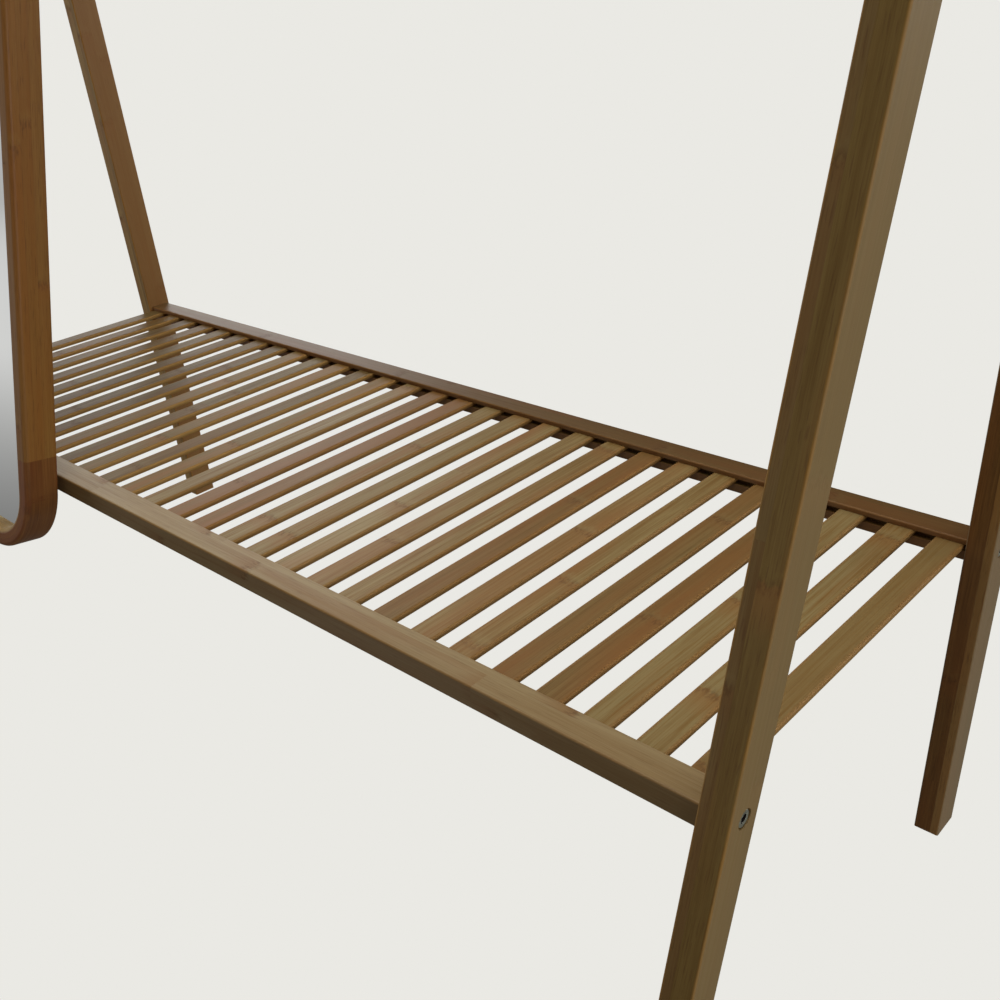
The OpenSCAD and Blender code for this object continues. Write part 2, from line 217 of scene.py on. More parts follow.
def buildBamboo():
    # glued bamboo strips: x of the place runs along the grain, y and z across it, in metres
    g, take, give = newGroup(
        "bambooStrips",
        {"Place": "vector", "Pale": "colour", "Brown": "colour", "Red": "colour",
         "Mark": "colour", "Strip Width": "value", "Strip Depth": "value",
         "Strip Length": "value", "Tone Spread": "value", "Red Amount": "value",
         "Clouds": "value", "Streaks": "value", "Fibre Marks": "value",
         "Knuckle Spacing": "value", "Seed": "value"},
        {"Colour": "colour", "Roughness": "value", "Height": "value"})
    x, y, z = g.parts(take["Place"])
    stripY = g.math("DIVIDE", y, take["Strip Width"])
    stripZ = g.math("DIVIDE", z, take["Strip Depth"])
    cellY = g.math("FLOOR", stripY)
    cellZ = g.math("FLOOR", stripZ)
    shift = g.white(cellY, cellZ, take["Seed"])
    along = g.math("DIVIDE", x, take["Strip Length"])
    along = g.math("ADD", along, shift[0])
    piece = g.math("FLOOR", along)            # strips are butted end to end
    tag = g.math("MULTIPLY_ADD", piece, strips["pieceStep"], take["Seed"])
    pick = g.white(cellY, cellZ, tag)
    slid = g.math("MULTIPLY_ADD", pick[0], strips["slide"], x)

    def fibres(alongScale, acrossScale, detail, rough=0.55):
        place = g.vector(g.math("MULTIPLY", slid, alongScale), g.math("MULTIPLY", y, acrossScale),
                         g.math("MULTIPLY", z, acrossScale))
        return g.noise(place, 1.0, detail, rough)

    cloud = fibres(*strips["cloud"])
    broad = fibres(*strips["broad"])
    middling = fibres(*strips["middling"])
    fine = fibres(*strips["fine"])
    dashes = g.ramp(fibres(*strips["dash"]), *strips["dashShows"])

    # a knuckle in each stretch of a strip, at an uneven place
    stretch = g.math("DIVIDE", slid, take["Knuckle Spacing"])
    count = g.math("FLOOR", stretch)
    row = g.math("MULTIPLY_ADD", cellZ, strips["rowStep"], cellY)
    jitter = g.white(count, row, take["Seed"])[1]
    centre = g.math("MULTIPLY_ADD", jitter, strips["placeSpread"], strips["placeStart"])
    centre = g.math("ADD", count, centre)
    away = g.math("MULTIPLY", g.math("SUBTRACT", stretch, centre), take["Knuckle Spacing"])
    wobble = g.math("SUBTRACT", fibres(*strips["wobble"]), 0.5)
    away = g.math("MULTIPLY_ADD", wobble, strips["unevenness"], away)
    blot = fibres(*strips["blot"])
    band = g.ramp(g.math("ABSOLUTE", away), *strips["band"])
    blots = g.math("MULTIPLY", band, g.ramp(blot, *strips["blotShows"]))
    redSide = g.math("MULTIPLY", g.ramp(away, *strips["redBefore"]),
                     g.ramp(away, *strips["redAfter"]))
    paleSide = g.math("MULTIPLY", g.ramp(away, *strips["paleFrom"]),
                      g.ramp(away, *strips["paleTo"]))
    paleSide = g.math("MULTIPLY", paleSide, g.ramp(blot, *strips["paleShows"]))

    def jointLine(strip, width):
        part = g.math("FRACT", strip)
        edge = g.math("MINIMUM", part, g.math("SUBTRACT", 1.0, part))
        return g.ramp(g.math("MULTIPLY", edge, width), strips["glueLine"], 0.0)

    line = g.math("MAXIMUM", jointLine(stripY, take["Strip Width"]),
                  jointLine(stripZ, take["Strip Depth"]))
    line = g.math("MAXIMUM", line, jointLine(along, take["Strip Length"]))

    def around(value, amount, start):
        # noise that strays to both sides of a start value
        return g.math("MULTIPLY_ADD", g.math("SUBTRACT", value, 0.5), amount, start)

    tone = g.math("MULTIPLY", g.math("SUBTRACT", pick[1], 0.5), take["Tone Spread"])
    tone = around(broad, 1.0, tone)
    tone = around(middling, take["Streaks"], tone)
    tone = around(fine, take["Streaks"], tone)
    tone = g.math("ADD", tone, strips["toneStart"], clamp=True)
    colour = g.mix(tone, take["Pale"], take["Brown"])
    reddish = around(pick[2], strips["redSpread"], take["Red Amount"])
    reddish = g.math("ADD", around(cloud, take["Clouds"], reddish), 0.0, clamp=True)
    reddish = g.math("MAXIMUM", reddish, g.math("MULTIPLY", redSide, strips["knuckleRed"]))
    colour = g.mix(reddish, colour, take["Red"])
    colour = g.mix(g.math("MULTIPLY", paleSide, strips["knucklePale"]), colour, take["Pale"])
    colour = g.mix(g.math("MULTIPLY", dashes, take["Fibre Marks"]), colour, take["Mark"])
    colour = g.mix(g.math("MULTIPLY", blots, strips["blotDark"]), colour, take["Mark"])
    colour = g.mix(g.math("MULTIPLY", line, strips["lineDark"]), colour, take["Mark"])
    g.put(give["Colour"], colour)
    rough = around(middling, strips["roughSpread"], strips["roughness"])
    g.put(give["Roughness"], g.math("MULTIPLY_ADD", blots, strips["blotRough"], rough))
    dents = g.math("MULTIPLY", dashes, take["Fibre Marks"])
    height = g.math("MULTIPLY_ADD", fine, strips["fineRise"],
                    g.math("MULTIPLY", dents, strips["dashRise"]))
    height = g.math("MULTIPLY_ADD", line, strips["lineRise"], height)
    g.put(give["Height"], g.math("MULTIPLY_ADD", blots, strips["blotRise"], height))
    return g.tree


sandingAndShading = {
    "scuffScale": 35.0,
    "scuff": 0.0009,                          # how unevenly an edge is sanded
    "rougher": 0.25,
    "skinDepth": (0.0011, 0.0004),            # how deep the one-face colour reaches from its face: another layer, and painted light and shade
}


def buildEdges():
    # warmer long edges of a bar, partly oil pooled on sanded edges, partly painted light; and one
    # pair of its faces in another colour, partly another strip layer, partly painted light and
    # shade
    g, take, give = newGroup(
        "warmEdges",
        {"Place": "vector", "Colour": "colour", "Roughness": "value", "Height": "value",
         "Edge Colour": "colour", "Half Width": "value", "Half Depth": "value",
         "Edge": "value", "Amount": "value", "Layer And Shading Colour": "colour", "Layer And Shading Amount": "value",
         "Layer And Shading Across": "value"},
        {"Colour": "colour", "Roughness": "value", "Height": "value"})
    y, z = g.parts(take["Place"])[1:]
    inY = g.math("MAXIMUM", g.math("SUBTRACT", take["Half Width"], g.math("ABSOLUTE", y)), 0.0)
    inZ = g.math("MAXIMUM", g.math("SUBTRACT", take["Half Depth"], g.math("ABSOLUTE", z)), 0.0)
    scuff = g.math("SUBTRACT", g.noise(take["Place"], sandingAndShading["scuffScale"]), 0.5)
    inside = g.math("MULTIPLY_ADD", scuff, sandingAndShading["scuff"], g.math("ADD", inY, inZ))
    near = g.ramp(inside, take["Edge"], 0.0)
    # layer and shading across is 0 for the faces met along y and 1 for those met along z
    # colour on one pair of faces: partly another layer of the strips, partly painted light and
    # shade
    inLayerAndShading = g.math("MULTIPLY_ADD", g.math("SUBTRACT", inZ, inY), take["Layer And Shading Across"], inY)
    skin = g.math("MULTIPLY", g.ramp(inLayerAndShading, *sandingAndShading["skinDepth"]), take["Layer And Shading Amount"])
    colour = g.mix(skin, take["Colour"], take["Layer And Shading Colour"])
    # warmer edges: partly oil pooled on sanded edges, partly painted light on rounded edges and
    # slat sides
    colour = g.mix(g.math("MULTIPLY", near, take["Amount"]), colour, take["Edge Colour"])
    g.put(give["Colour"], colour)
    rough = g.math("MULTIPLY_ADD", near, sandingAndShading["rougher"], take["Roughness"])
    g.put(give["Roughness"], rough)
    g.put(give["Height"], g.math("MULTIPLY", take["Height"], g.math("SUBTRACT", 1.0, near)))
    return g.tree


def buildBend():
    # turns a place in the bend's own plane into one along, across and through a bent strip
    g, take, give = newGroup("bentGrain", {"Place": "vector", "Radius": "value"},
                             {"Place": "vector"})
    x, y, z = g.parts(take["Place"])
    outX = g.math("MAXIMUM", x, 0.0)
    outY = g.math("MAXIMUM", y, 0.0)
    radius = g.math("SQRT", g.math("ADD", g.math("MULTIPLY", outX, outX),
                                   g.math("MULTIPLY", outY, outY)))
    along = g.math("MULTIPLY", g.math("ARCTAN2", outY, outX), take["Radius"])
    along = g.math("ADD", along, g.math("MINIMUM", y, 0.0))
    along = g.math("SUBTRACT", along, g.math("MINIMUM", x, 0.0))
    g.put(give["Place"], g.vector(along, g.math("SUBTRACT", radius, take["Radius"]), z))
    return g.tree


bamboo = buildBamboo()
warmEdges = buildEdges()
bentGrain = buildBend()

bambooLook = {
    "pale": (0.400, 0.262, 0.092, 1),
    "brown": (0.270, 0.150, 0.040, 1),
    "red": (0.345, 0.160, 0.045, 1),
    "mark": (0.110, 0.043, 0.012, 1),
    # edges: warmer from oil pooled on sanded edges, and painted light on the rounding
    "edgeColour": (0.400, 0.190, 0.046, 1),
    "strip": (0.020, 0.010, 0.52),            # width, depth and length of a strip
    "shift": (0, 0, 0),                       # moves the glue lines off the bar's middle
    "toneSpread": 0.4,
    "redAmount": 0.25,
    "clouds": 2.2,                            # how strongly warm patches come and go
    "streaks": 1.2,
    "fibreMarks": 0.38,
    "knuckles": 0.29,                         # distance between knuckles
    "edge": 0.0016,
    "edgeAmount": 0.75,
    "skin": (0.40, 0.262, 0.092, 1),          # another layer, and painted light and shade, on one pair of faces
    "skinAmount": 0.0,
    "skinAcross": 0.0,                        # 0 for the faces met along y, 1 along z
    "gloss": 0.32,
    "relief": 0.18,                           # strength and height of the grain's bumps
    "reliefHeight": 0.0002,
}


def tinted(look, pale=1.0, brown=1.0, red=1.0, **changes):
    # a look with its wood colours made lighter or darker
    made = dict(look, **changes)
    for key, factor in (("pale", pale), ("brown", brown), ("red", red)):
        made[key] = tuple(c * factor for c in look[key][:3]) + (1,)
    return made


def startMaterial(name):
    material = bpy.data.materials.new(name)
    material.use_nodes = True
    return material, Graph(material.node_tree), material.node_tree.nodes["Principled BSDF"]


def placedAt(g, centre, turn):
    coordinate = g.add("ShaderNodeTexCoord").outputs["Object"]
    mapping = g.add("ShaderNodeMapping", {"Vector": coordinate, "Location": centre,
                                          "Rotation": turn}, vector_type="TEXTURE")
    return mapping.outputs[0]


def finishBamboo(g, shader, look, place, seed, halfWidth=1.0, halfDepth=1.0):
    # half sizes of 1 m keep the warm edges, and the one-face colour with its painted light and
    # shade, off a piece
    moved = g.add("ShaderNodeVectorMath", {0: place, 1: look["shift"]}, operation="ADD")
    wood = g.add("ShaderNodeGroup", {}, node_tree=bamboo)
    values = {"Place": moved.outputs[0], "Pale": look["pale"], "Brown": look["brown"],
              "Red": look["red"], "Mark": look["mark"], "Strip Width": look["strip"][0],
              "Strip Depth": look["strip"][1], "Strip Length": look["strip"][2],
              "Tone Spread": look["toneSpread"], "Red Amount": look["redAmount"],
              "Clouds": look["clouds"], "Streaks": look["streaks"],
              "Fibre Marks": look["fibreMarks"], "Knuckle Spacing": look["knuckles"],
              "Seed": seed}
    for key, value in values.items():
        g.put(wood.inputs[key], value)
    edges = g.add("ShaderNodeGroup", {}, node_tree=warmEdges)
    values = {"Place": place, "Colour": wood.outputs["Colour"],
              "Roughness": wood.outputs["Roughness"], "Height": wood.outputs["Height"],
              "Edge Colour": look["edgeColour"], "Half Width": halfWidth,
              "Half Depth": halfDepth, "Edge": look["edge"], "Amount": look["edgeAmount"],
              "Layer And Shading Colour": look["skin"], "Layer And Shading Amount": look["skinAmount"],
              "Layer And Shading Across": look["skinAcross"]}
    for key, value in values.items():
        g.put(edges.inputs[key], value)
    bump = g.add("ShaderNodeBump", {"Strength": look["relief"], "Distance": look["reliefHeight"],
                                    "Height": edges.outputs["Height"]})
    g.put(shader.inputs["Base Color"], edges.outputs["Colour"])
    g.put(shader.inputs["Roughness"], edges.outputs["Roughness"])
    g.put(shader.inputs["Normal"], bump.outputs[0])
    shader.inputs["Specular IOR Level"].default_value = look["gloss"]


def bambooMaterial(name, look, centre, turn, seed, halfWidth=1.0, halfDepth=1.0):
    material, g, shader = startMaterial(name)
    finishBamboo(g, shader, look, placedAt(g, centre, turn), seed, halfWidth, halfDepth)
    return material


def dress(node, material):
    # a CAD node takes a finished material
    mesh = nodes[node].data
    mesh.materials.clear()
    mesh.materials.append(material)


# each leg is glued from a wide and a narrow strip, side by side across its front
legBuild = {
    "line": -0.003,                           # where the two strips meet, off the leg's middle
    "lineBlur": 0.0001,
    "halfThickness": 0.01625,                 # from the leg's middle to its front
    "strip": (0.0166, 1.6, 0.9),              # width, depth in half leg widths, and length
}
# a leg's sides are paler, partly another strip layer and partly painted sheen; its bright orange
# edges are partly painted light on the rounding
legLook = dict(bambooLook, edgeColour=(0.60, 0.26, 0.020, 1), skinAmount=0.7, skinAcross=1.0,
               fibreMarks=0.36, shift=(0, 0.0006, -legBuild["line"]))
# the side colour of each leg below: another strip layer, and painted sheen
legs = {
    "leg_front_left": {"seed": 4.0, "wide": legLook, "narrow": bambooLook},
    "leg_front_right": {
        "seed": 9.0,
        "wide": dict(legLook, pale=(0.276, 0.176, 0.049, 1), brown=(0.172, 0.093, 0.019, 1),
                     redAmount=0.05, skin=(0.375, 0.260, 0.118, 1)),
        "narrow": tinted(bambooLook, 0.68, 0.62, 0.70),
    },
    "leg_rear_left": {
        "seed": 13.0,
        "wide": tinted(legLook, 1.15, 1.2, 1.0, redAmount=0.1, skin=(0.335, 0.155, 0.050, 1)),
        "narrow": bambooLook,
    },
    "leg_rear_right": {
        "seed": 21.0,
        "wide": dict(legLook, pale=(0.250, 0.120, 0.032, 1), brown=(0.150, 0.068, 0.016, 1),
                     red=(0.230, 0.085, 0.020, 1), redAmount=0.45, streaks=1.8,
                     edgeAmount=0.0, skin=(0.36, 0.275, 0.165, 1)),
        "narrow": dict(bambooLook, pale=(0.310, 0.210, 0.075, 1)),
    },
}


def dressLegs():
    for node, leg in legs.items():
        low, high = boxOf(node)
        half = (high.x - low.x) / 2
        material, g, shader = startMaterial(node)
        place = placedAt(g, middleOf(node), frontTurn if "front" in node else rearTurn)
        wide = g.ramp(g.parts(place)[2], legBuild["line"] - legBuild["lineBlur"],
                      legBuild["line"] + legBuild["lineBlur"])
        width, depth, length = legBuild["strip"]
        look = dict(leg["wide"], strip=(width, half * depth, length))
        for key in ("pale", "brown", "red"):
            look[key] = g.mix(wide, leg["narrow"][key], leg["wide"][key])
        finishBamboo(g, shader, look, place, leg["seed"], legBuild["halfThickness"], half)
        dress(node, material)


railLook = dict(bambooLook, strip=(0.0168, 0.0085, 0.43), shift=(0, 0.0042, 0),
                toneSpread=0.8, skinAmount=0.6, fibreMarks=0.2)
# the one-face colour of each rail is painted shade, darkening its front and back faces
rails = {
    "shelf_rail_front": {
        "seed": 32.0,
        "look": dict(railLook, pale=(0.50, 0.365, 0.175, 1), brown=(0.36, 0.225, 0.085, 1),
                     redAmount=-0.1, skin=(0.100, 0.050, 0.014, 1)),
    },
    "shelf_rail_rear": {
        "seed": 38.0,
        "look": tinted(railLook, 0.58, 0.58, 0.62, redAmount=0.5, skin=(0.20, 0.085, 0.025, 1)),
    },
}
hangingRail = {"seed": 44.0, "look": dict(bambooLook, strip=(0.0095, 0.0095, 0.8))}


def dressRails():
    for node, rail in rails.items():
        low, high = boxOf(node)
        half = (high - low) / 2
        dress(node, bambooMaterial(node, rail["look"], middleOf(node), alongX, rail["seed"],
                                   half.y, half.z))
    node = "hanging_rail"
    dress(node, bambooMaterial(node, hangingRail["look"], middleOf(node), alongX,
                               hangingRail["seed"]))


# a slat's sides take brighter edge and side colours: painted light on sides that the lamps leave
# dark
slatLook = dict(bambooLook, strip=(0.03, 0.02, 2.0), shift=(0, 0.015, 0.01), fibreMarks=0.12,
                clouds=3.2, streaks=2.2, edge=0.0034, edgeAmount=0.7,
                edgeColour=(0.335, 0.158, 0.036, 1), skin=(0.50, 0.29, 0.095, 1),
                skinAmount=0.5)
# brighter still on the sides of these duller slats: painted light
shadyLook = dict(slatLook, gloss=0.12, edgeColour=(0.460, 0.235, 0.060, 1),
                 skin=(0.75, 0.45, 0.15, 1))
darkSlat = dict(shadyLook, pale=(0.260, 0.182, 0.070, 1), brown=(0.175, 0.100, 0.030, 1),
                red=(0.240, 0.125, 0.036, 1), redAmount=0.1)
slats = {
    "firstSeed": 60.0,
    "seedStep": 3.7,
    # one letter for each slat, left to right: e, d and f are darker and duller, k is khaki,
    # h is honey, r is reddish and o is olive
    "tones": "eeeeeeeefdfdfkrrkkhhhrhhrrkko",
    "e": tinted(darkSlat, 0.84, 0.84, 0.88, redAmount=0.2),
    "d": darkSlat,
    "f": dict(shadyLook, pale=(0.270, 0.185, 0.070, 1), redAmount=0.15),
    "k": dict(slatLook, pale=(0.360, 0.258, 0.104, 1), redAmount=-0.05, gloss=0.2),
    "h": dict(slatLook, pale=(0.400, 0.282, 0.110, 1), redAmount=0.05),
    "r": tinted(slatLook, 0.75, 0.75, 0.85, redAmount=0.6, gloss=0.25),
    "o": tinted(slatLook, 0.80, 1.0, 0.8, redAmount=-0.15),
}


def dressSlats():
    for index, tone in enumerate(slats["tones"]):
        node = f"slat_{index + 1:02d}"
        low, high = boxOf(node)
        half = (high - low) / 2
        seed = slats["firstSeed"] + index * slats["seedStep"]
        dress(node, bambooMaterial(node, slats[tone], middleOf(node), alongY, seed,
                                   half.x, half.z))


dressLegs()
dressRails()
dressSlats()
print("bamboo dressed")

# mirror

mirror = {
    "bend": 0.065,                            # outer radius of a bent corner
    "darkDepth": (-0.0155, -0.0125),          # where the dark outer colour of a bend begins, from outside; inside it the bend is pale, partly an inner layer, partly painted light from the glass
    "aside": 0.2,                             # moves a bar's pattern outwards, so that only the side that faces the glass shows the pale colour, partly an inner layer, partly painted light from the glass
                                              # side that faces the glass shows the inner layer
    "cornerSeed": 151.0,
    "seedStep": 3.0,
}
mirrorLook = dict(bambooLook, pale=(0.325, 0.158, 0.036, 1), brown=(0.235, 0.100, 0.017, 1),
                  red=(0.30, 0.112, 0.020, 1), strip=(0.0102, 0.0178, 1.4))
# the pale side toward the glass: partly a pale inner layer, partly painted light that the glass
# throws back onto it
innerLook = dict(mirrorLook, pale=(0.52, 0.385, 0.165, 1), brown=(0.40, 0.27, 0.10, 1),
                 red=(0.43, 0.26, 0.09, 1))
barLook = dict(mirrorLook, skin=innerLook["pale"], skinAmount=0.8, edgeAmount=0.0,
               shift=(0, 0.004, 0.0))
cornerLook = dict(mirrorLook, pale=(0.290, 0.118, 0.026, 1), brown=(0.185, 0.064, 0.012, 1),
                  red=(0.19, 0.050, 0.010, 1), strip=(0.0072, 0.3, 1.0), clouds=3.6, streaks=2.0)


def dressMirrorFrame():
    # each straight bar is pale on the side that faces the glass: partly its inner layer, partly
    # painted light from the glass
    low, high = boxOf("mirror_stile_left")
    half = (high.x - low.x) / 2 + mirror["aside"]
    # seed, direction outwards, turn, and the axis that its skin is met along
    bars = {
        "mirror_stile_left": (131.0, Vector((-1, 0, 0)), frontTurn, 1.0),
        "mirror_stile_right": (135.0, Vector((1, 0, 0)), frontTurn, 1.0),
        "mirror_rail_top": (141.0, upLeg, mirrorAcross, 0.0),
        "mirror_rail_bottom": (145.0, -upLeg, mirrorAcross, 0.0),
    }
    for node, (seed, outward, turn, skinAcross) in bars.items():
        look = dict(barLook, skinAcross=skinAcross)
        centre = middleOf(node) + outward * mirror["aside"]
        dress(node, bambooMaterial(node, look, centre, turn, seed, half, half))


def dressCorners():
    # the grain of each bent corner runs round its own bend
    for number, (sideX, sideY) in enumerate(((-1, 1), (1, 1), (-1, -1), (1, -1))):
        node = "mirror_corner_%s_%s" % ("top" if sideY > 0 else "bottom",
                                        "right" if sideX > 0 else "left")
        low, high = boxOf(node)
        half = (high.x - low.x) / 2
        middle = middleOf(node)
        stile = boxOf("mirror_stile_right" if sideX > 0 else "mirror_stile_left")
        outerX = stile[1 if sideX > 0 else 0].x
        # the bend's own centre, back from the outer edges of the corner
        bendX = outerX - sideX * mirror["bend"]
        centre = Vector((bendX, middle.y, middle.z)) + upLeg * (half - mirror["bend"]) * sideY
        x = Vector((sideX, 0, 0))
        y = upLeg * sideY
        turn = Matrix((x, y, x.cross(y))).transposed().to_euler("XYZ")
        material, g, shader = startMaterial(node)
        bent = g.add("ShaderNodeGroup", {}, node_tree=bentGrain)
        g.put(bent.inputs["Place"], placedAt(g, centre, turn))
        g.put(bent.inputs["Radius"], mirror["bend"])
        place = bent.outputs["Place"]
        # the inner side of the bend, toward the glass, is pale: partly an inner layer, partly
        # painted light from the glass
        dark = g.ramp(g.parts(place)[1], *mirror["darkDepth"])
        look = dict(cornerLook)
        for key in ("pale", "brown", "red"):
            look[key] = g.mix(dark, innerLook[key], cornerLook[key])
        finishBamboo(g, shader, look, place, mirror["cornerSeed"] + number * mirror["seedStep"])
        dress(node, material)


glass = {
    "colour": (0.86, 0.87, 0.865, 1),
    "smearScale": 9.0,
    "smear": (0.35, 0.75, 0.012, 0.03),       # faint smears, and the roughness they bring
}


def dressGlass():
    material, g, shader = startMaterial("mirror_glass")
    place = g.add("ShaderNodeTexCoord").outputs["Object"]
    smear = g.noise(place, glass["smearScale"], detail=3.0)
    g.put(shader.inputs["Base Color"], glass["colour"])
    g.put(shader.inputs["Roughness"], g.ramp(smear, *glass["smear"]))
    shader.inputs["Metallic"].default_value = 1.0
    dress("mirror_glass", material)


dressMirrorFrame()
dressCorners()
dressGlass()
print("mirror dressed")

# metal, rubber and board

noiseSpan = (0.3, 0.7)                        # noise mostly stays between these

metalWear = {
    "stainScale": 160.0,
    "stain": (0.42, 0.75, 0.0, 0.7),          # where the noise starts to stain, and how much
    "stainShade": 0.55,
    "roughness": (-0.08, 0.12),               # how far the turning marks move it
    "relief": 0.2,
    "reliefHeight": 0.00005,
}


def metalMaterial(name, colour, roughness, brushed):
    # brushed is how fine the turning marks are on each axis
    material, g, shader = startMaterial(name)
    place = g.add("ShaderNodeTexCoord").outputs["Object"]
    stretched = g.add("ShaderNodeMapping", {"Vector": place, "Scale": brushed}).outputs[0]
    marks = g.noise(stretched, scale=1.0, detail=3.0)
    stains = g.noise(place, metalWear["stainScale"], detail=3.0)
    stain = g.ramp(stains, *metalWear["stain"])
    dark = tuple(c * metalWear["stainShade"] for c in colour[:3]) + (1,)
    g.put(shader.inputs["Base Color"], g.mix(stain, colour, dark))
    smoother, rougher = metalWear["roughness"]
    g.put(shader.inputs["Roughness"],
          g.ramp(marks, *noiseSpan, roughness + smoother, roughness + rougher))
    bump = g.add("ShaderNodeBump", {"Strength": metalWear["relief"],
                                    "Distance": metalWear["reliefHeight"], "Height": marks})
    g.put(shader.inputs["Normal"], bump.outputs[0])
    shader.inputs["Metallic"].default_value = 1.0
    return material


grainy = {
    "cloudSize": 30,                          # how much larger the clouds are than the grain
    "grainShare": 0.6,
    "cloudShare": 0.4,
    "twoTones": (0.35, 0.65),                 # how sharply the two tones part
    "roughness": 0.1,
    "relief": 0.3,
}


def plainMaterial(name, colour, other, roughness, scale, depth):
    # rubber and pressed board: two tones in a fine grain
    material, g, shader = startMaterial(name)
    place = g.add("ShaderNodeTexCoord").outputs["Object"]
    grain = g.noise(place, scale, detail=4.0, rough=0.65)
    cloudy = g.noise(place, scale / grainy["cloudSize"], detail=2.0)
    mixed = g.math("ADD", g.math("MULTIPLY", grain, grainy["grainShare"]),
                   g.math("MULTIPLY", cloudy, grainy["cloudShare"]))
    g.put(shader.inputs["Base Color"], g.mix(g.ramp(mixed, *grainy["twoTones"]), colour, other))
    spread = grainy["roughness"]
    g.put(shader.inputs["Roughness"],
          g.ramp(grain, *noiseSpan, roughness - spread, roughness + spread))
    bump = g.add("ShaderNodeBump", {"Strength": grainy["relief"], "Distance": depth,
                                    "Height": grain})
    g.put(shader.inputs["Normal"], bump.outputs[0])
    return material


zinc = metalMaterial("zinc", colour=(0.74, 0.75, 0.60, 1), roughness=0.5,
                     brushed=(900, 900, 900))
socketShade = metalMaterial("socketShade", colour=(0.07, 0.06, 0.06, 1), roughness=0.7,
                            brushed=(900, 900, 900))
brass = metalMaterial("brass", colour=(0.66, 0.47, 0.20, 1), roughness=0.32,
                      brushed=(1500, 300, 300))
rubber = plainMaterial("rubber", colour=(0.018, 0.018, 0.018, 1), other=(0.04, 0.04, 0.038, 1),
                       roughness=0.7, scale=2500, depth=0.0001)
board = plainMaterial("pressedBoard", colour=(0.22, 0.125, 0.06, 1),
                      other=(0.15, 0.08, 0.036, 1), roughness=0.6, scale=900, depth=0.0002)
dowel = bambooMaterial("dowel", tinted(bambooLook, 1.2, 1.2, 1.2), (0, 0, 0), alongX, seed=77.0)
dress("mirror_backboard", board)
dress("apex_inserts", brass)
dress("glazing_points", zinc)
dress("hinge_pins", zinc)
dress("rail_dowels", dowel)

# fittings, modelled once and copied


def solidsOf(node):
    # the points of each separate solid of a CAD node
    mesh = nodes[node].data
    keys = [tuple(round(c, 6) for c in vertex.co) for vertex in mesh.vertices]
    group = {key: key for key in keys}

    def top(key):
        while group[key] != key:
            group[key] = group[group[key]]
            key = group[key]
        return key

    for polygon in mesh.polygons:
        first = top(keys[polygon.vertices[0]])
        for index in polygon.vertices[1:]:
            group[top(keys[index])] = first
    solids = {}
    for key in set(keys):
        solids.setdefault(top(key), []).append(Vector(key))
    return [solids[key] for key in sorted(solids)]


def placeOn(points, axis):
    # where the far end of a turned solid sits, and how long and how thick it is
    axis = Vector(axis).normalized()
    side = axis.orthogonal().normalized()
    other = axis.cross(side)
    spans = []
    for direction in (axis, side, other):
        reach = [point.dot(direction) for point in points]
        spans.append((min(reach), max(reach)))
    end = axis * spans[0][1] + side * sum(spans[1]) / 2 + other * sum(spans[2]) / 2
    return end, spans[0][1] - spans[0][0], (spans[1][1] - spans[1][0]) / 2


def startPiece(name):
    # names the new primitive and leaves none of its faces selected
    piece = bpy.context.object
    piece.name = name
    bpy.ops.object.mode_set(mode="EDIT")
    bpy.ops.mesh.select_mode(type="FACE")
    bpy.ops.mesh.select_all(action="DESELECT")
    bpy.ops.object.mode_set(mode="OBJECT")
    return piece


def selectFaces(piece, wanted):
    # selects faces in object mode, then goes back to edit mode
    bpy.ops.object.mode_set(mode="EDIT")
    bpy.ops.mesh.select_all(action="DESELECT")
    bpy.ops.object.mode_set(mode="OBJECT")
    for face in piece.data.polygons:
        face.select = wanted(face)
    bpy.ops.object.mode_set(mode="EDIT")


def addTurned(name, sides, radius, length):
    # a bar whose end face lies at the origin and whose body runs down -z
    bpy.ops.object.select_all(action="DESELECT")
    bpy.ops.mesh.primitive_cylinder_add(vertices=sides, radius=radius, depth=length,
                                        location=(0, 0, -length / 2))
    bpy.ops.object.transform_apply(location=True, rotation=True, scale=True)
    return startPiece(name)


def stepDown(piece, lowZ, inset, length, taper=1.0):
    # insets the lowest face and extrudes it on downwards
    selectFaces(piece, lambda face: face.normal.z < -0.9 and face.center.z < lowZ + 1e-5)
    if inset > 0:
        bpy.ops.mesh.inset(thickness=inset, depth=0)
    bpy.ops.mesh.extrude_region_move(TRANSFORM_OT_translate={"value": (0, 0, -length)})
    if taper != 1.0:
        bpy.ops.transform.resize(value=(taper, taper, 1))
    bpy.ops.object.mode_set(mode="OBJECT")


def cutWith(piece, cutter):
    # takes the cutter's shape out of the piece, and the cutter out of the scene
    modifier = piece.modifiers.new("cut", "BOOLEAN")
    modifier.operation = "DIFFERENCE"
    modifier.object = cutter
    modifier.solver = "EXACT"
    bpy.ops.object.select_all(action="DESELECT")
    piece.select_set(True)
    bpy.context.view_layer.objects.active = piece
    bpy.ops.object.modifier_apply(modifier=modifier.name)
    bpy.data.objects.remove(cutter, do_unlink=True)


def easeEdges(piece, width, segments=3, angle=35):
    # rounds the edges that are sharper than an angle in degrees
    bpy.ops.object.select_all(action="DESELECT")
    piece.select_set(True)
    bpy.context.view_layer.objects.active = piece
    modifier = piece.modifiers.new("ease", "BEVEL")
    modifier.width = width
    modifier.segments = segments
    modifier.limit_method = "ANGLE"
    modifier.angle_limit = math.radians(angle)
    bpy.ops.object.modifier_apply(modifier=modifier.name)
    bpy.ops.object.shade_smooth_by_angle(angle=math.radians(angle))


